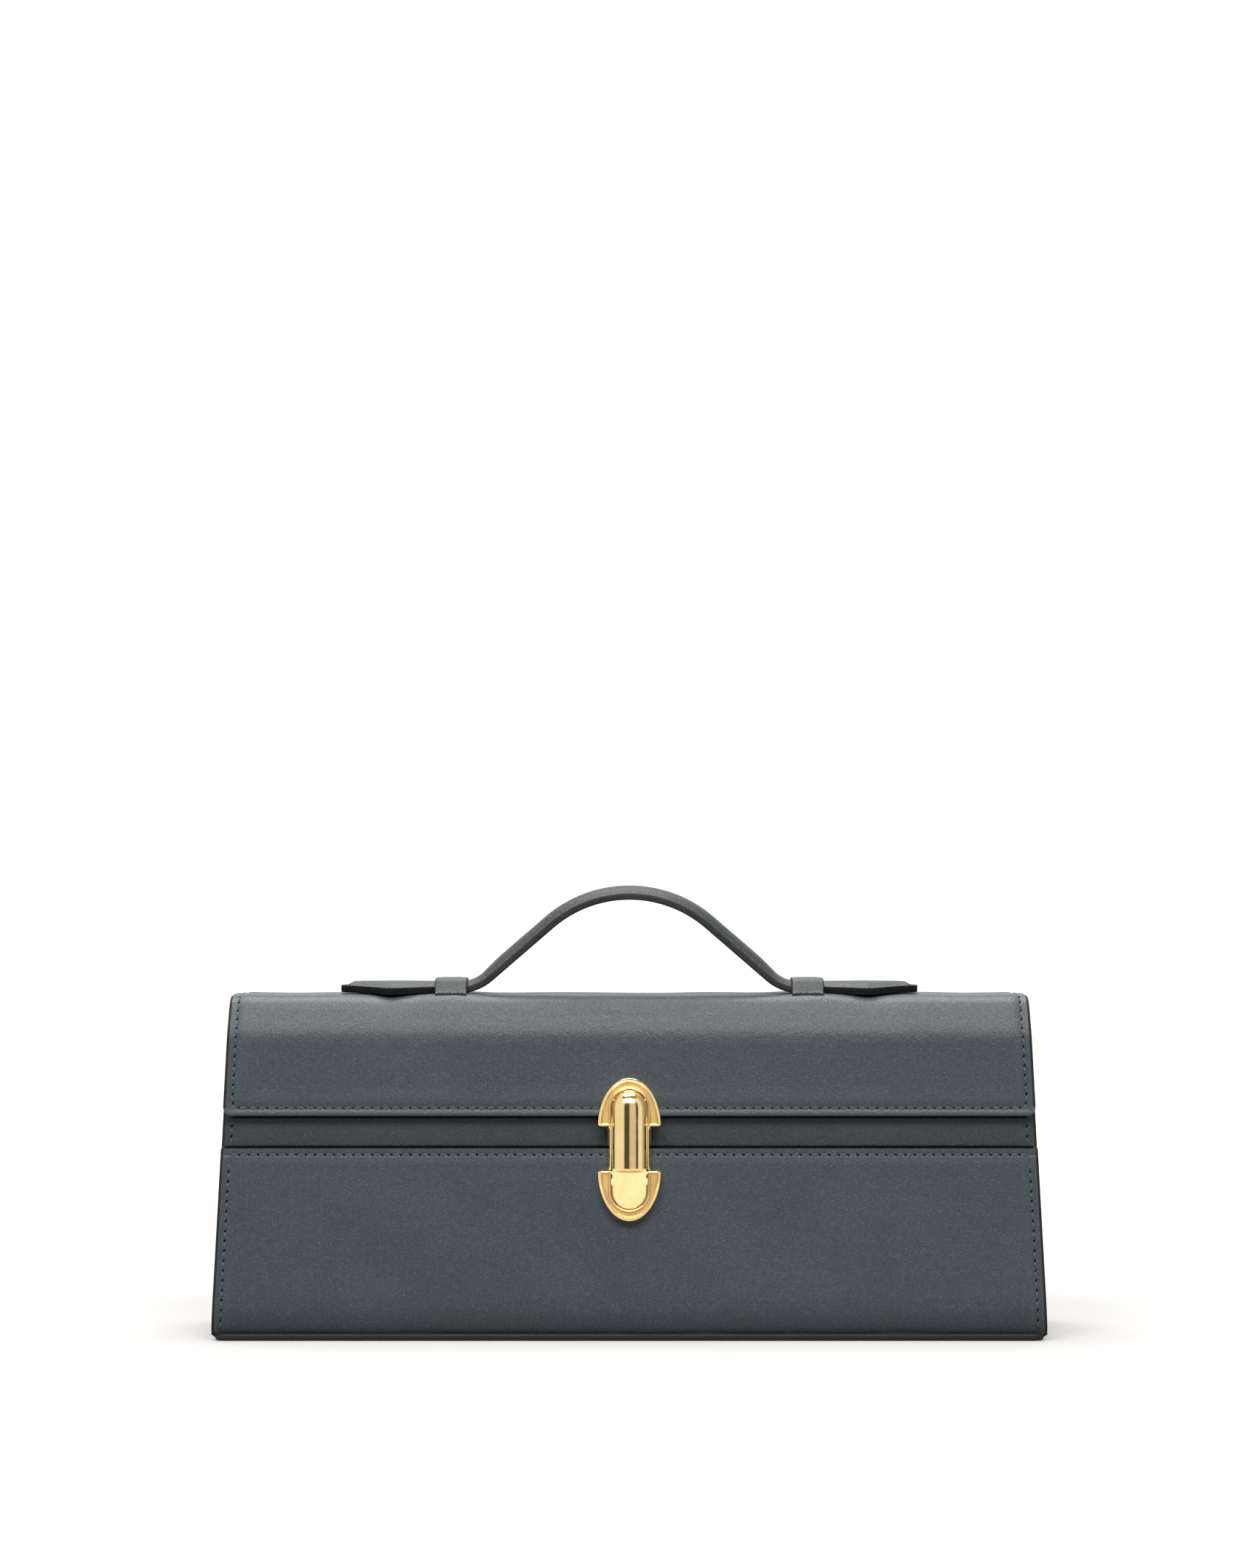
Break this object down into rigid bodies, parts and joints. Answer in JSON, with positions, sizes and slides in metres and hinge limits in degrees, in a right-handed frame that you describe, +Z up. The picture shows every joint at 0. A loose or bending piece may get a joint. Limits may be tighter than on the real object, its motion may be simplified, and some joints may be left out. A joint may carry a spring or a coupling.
{
  "type": "structured pochette handbag",
  "caption": "Small structured leather handbag with a front flap, a slip pocket, a strap handle sliding in keepers and a flip lock.",
  "frame": {"origin": "middle of the base at the surface the bag stands on", "axes": "+X to the right seen from the front, +Y from the front to the back, +Z up"},
  "size_m": [0.2698, 0.0594, 0.1458],
  "materials": {
    "leather": "fine grained slate grey leather, satin",
    "strap": "fine grained slate grey leather with dark painted edges",
    "lining": "smooth thin lining leather, matte",
    "board": "stiff fibre board",
    "gold_plate": "polished gold plate with matte sunk bands",
    "steel": "plain steel",
    "magnet": "nickel plated magnet"
  },
  "bodies": {
    "body": {"base_panel": "leather", "base_stiffener": "board", "front_pocket_panel": "leather", "front_panel": "leather", "back_panel": "leather", "back_stiffener": "board", "left_gusset": "leather", "right_gusset": "leather", "front_lining": "lining", "back_lining": "lining", "left_lining": "lining", "right_lining": "lining", "base_lining": "lining", "lock_lower_plate": "gold_plate", "lock_magnet": "magnet", "lower_backing_plate": "steel", "lower_screws": "steel"},
    "flap": {"flap_leather": "leather", "flap_stiffener": "board", "flap_lining": "lining", "keeper_left": "leather", "keeper_right": "leather", "handle_riser_left": "strap", "handle_riser_right": "strap", "lock_upper_plate": "gold_plate", "upper_backing_plate": "steel", "upper_screws": "steel", "lever_pin": "steel"},
    "lever": {"lock_lever": "gold_plate", "lever_armature": "steel"},
    "handle": {"handle_crown": "strap"},
    "tab_left": {"handle_tab_left": "strap"},
    "tab_right": {"handle_tab_right": "strap"}
  },
  "joints": [
    {"name": "flap_fold", "type": "hinge", "parent": "body", "child": "flap", "pos_m": [0, 0.0193, 0.092], "axis": [-1, 0, 0], "range_deg": [0, 175]},
    {"name": "lever_lift", "type": "hinge", "parent": "flap", "child": "lever", "pos_m": [0, -0.02266, 0.07756], "axis": [-1, 0, 0], "range_deg": [0, 35]},
    {"name": "handle_lower", "type": "slide", "parent": "flap", "child": "handle", "axis": [0, 0, -1], "range_m": [0, 0.022], "deforming": ["handle_riser_left", "handle_riser_right"]},
    {"name": "tab_slide_left", "type": "slide", "parent": "flap", "child": "tab_left", "axis": [-1, 0, 0], "range_m": [0, 0.0091]},
    {"name": "tab_slide_right", "type": "slide", "parent": "flap", "child": "tab_right", "axis": [1, 0, 0], "range_m": [0, 0.0091]}
  ],
  "couplings": [
    {"joint": "tab_slide_left", "follows": "handle_lower", "ratio": 0.41364},
    {"joint": "tab_slide_right", "follows": "handle_lower", "ratio": 0.41364}
  ]
}
